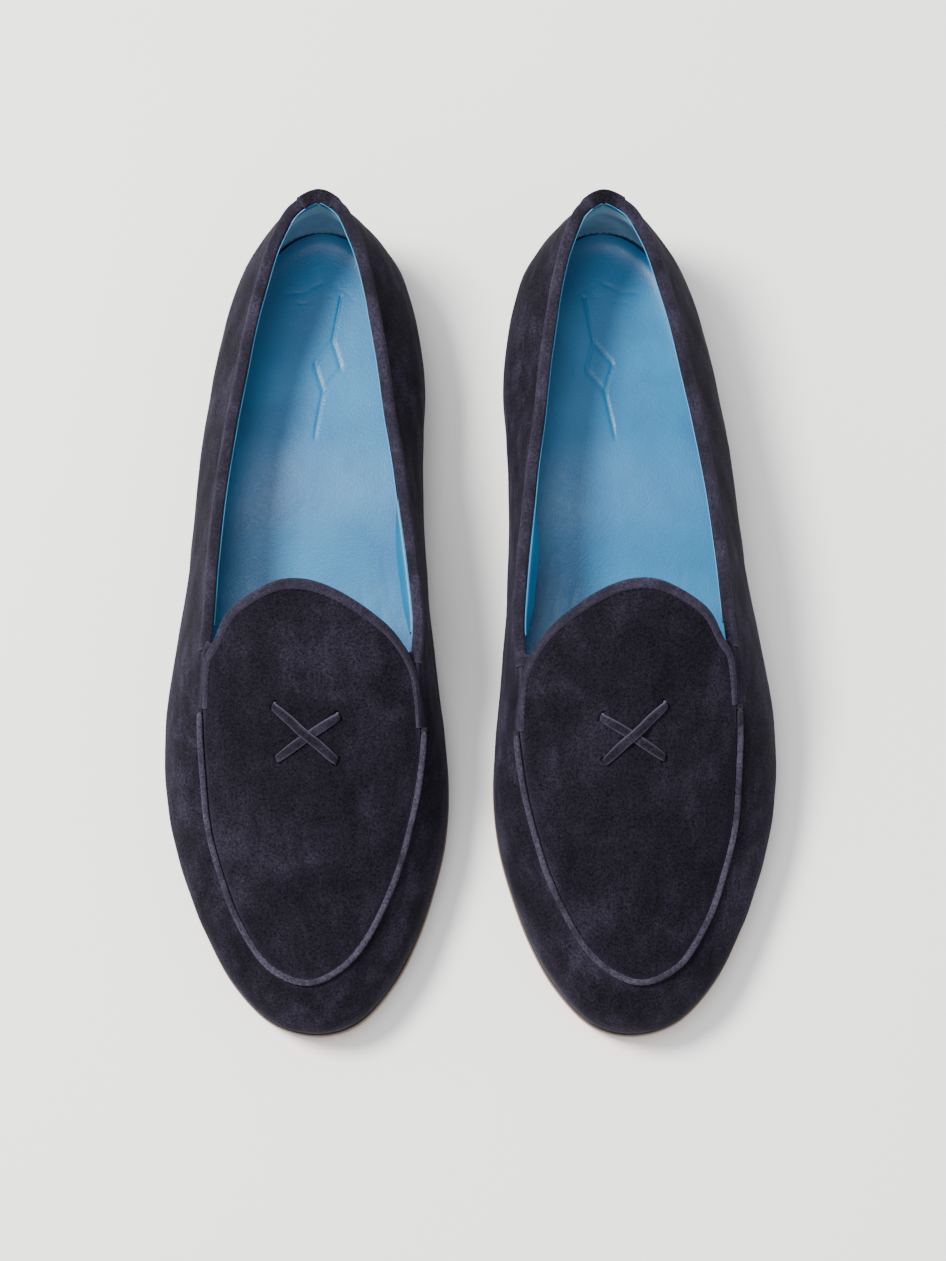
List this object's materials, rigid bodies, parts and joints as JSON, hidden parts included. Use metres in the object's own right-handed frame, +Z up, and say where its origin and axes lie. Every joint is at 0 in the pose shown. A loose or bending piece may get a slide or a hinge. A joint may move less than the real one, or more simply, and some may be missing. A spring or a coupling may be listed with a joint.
{
  "type": "pair of slip-on loafers",
  "caption": "Pair of flat suede slip-on loafers with piped apron, tongue, crossed straps, bound topline, leather lining, leather sole and low heel.",
  "frame": {"origin": "on the ground, in the middle of the pair's own box", "axes": "+Z up, -Y towards the toes, +X from the right shoe to the left shoe"},
  "size_m": [0.2202, 0.2986, 0.082],
  "materials": {
    "suede": "napped suede",
    "suede_piping": "napped suede over cord",
    "blue_leather": "smooth, soft sheen",
    "blue_grip": "lightly buffed",
    "sole_leather": "waxed edge, buffed face",
    "dark_rand": "dyed and waxed",
    "rubber": "matte",
    "board": "matte",
    "cork": "granular cork",
    "foam": "soft foam",
    "steel": "satin",
    "brass": "satin",
    "thread": "waxed thread"
  },
  "bodies": {
    "right_shoe": {"right_outsole": "sole_leather", "right_heel_lift": "sole_leather", "right_heel_top_piece": "rubber", "right_insole_board": "board", "right_cork_filler": "cork", "right_heel_pad": "foam", "right_sock": "blue_leather", "right_shank": "steel", "right_rand": "dark_rand", "right_side_wrap": "suede", "right_quarter_lining_lateral": "blue_leather", "right_quarter_lining_medial": "blue_leather", "right_toe_lining": "blue_leather", "right_heel_counter": "board", "right_toe_puff": "board", "right_heel_grip": "blue_grip", "right_apron": "suede", "right_apron_lining": "blue_leather", "right_apron_piping": "suede_piping", "right_tongue_binding": "suede", "right_topline_binding_lateral": "suede", "right_topline_binding_medial": "suede", "right_backstay": "suede", "right_cross_strap_over": "suede", "right_cross_strap_under": "suede", "right_bar_tack_lateral": "thread", "right_bar_tack_medial": "thread", "right_heel_pin_1": "brass", "right_heel_pin_2": "brass", "right_heel_pin_3": "brass"},
    "left_shoe": {"left_outsole": "sole_leather", "left_heel_lift": "sole_leather", "left_heel_top_piece": "rubber", "left_insole_board": "board", "left_cork_filler": "cork", "left_heel_pad": "foam", "left_sock": "blue_leather", "left_shank": "steel", "left_rand": "dark_rand", "left_side_wrap": "suede", "left_quarter_lining_lateral": "blue_leather", "left_quarter_lining_medial": "blue_leather", "left_toe_lining": "blue_leather", "left_heel_counter": "board", "left_toe_puff": "board", "left_heel_grip": "blue_grip", "left_apron": "suede", "left_apron_lining": "blue_leather", "left_apron_piping": "suede_piping", "left_tongue_binding": "suede", "left_topline_binding_lateral": "suede", "left_topline_binding_medial": "suede", "left_backstay": "suede", "left_cross_strap_over": "suede", "left_cross_strap_under": "suede", "left_bar_tack_lateral": "thread", "left_bar_tack_medial": "thread", "left_heel_pin_1": "brass", "left_heel_pin_2": "brass", "left_heel_pin_3": "brass"}
  },
  "joints": [
    {"name": "left_shoe_lift", "type": "slide", "parent": "right_shoe", "child": "left_shoe", "axis": [0, 0, 1], "range_m": [0, 0.15]}
  ]
}
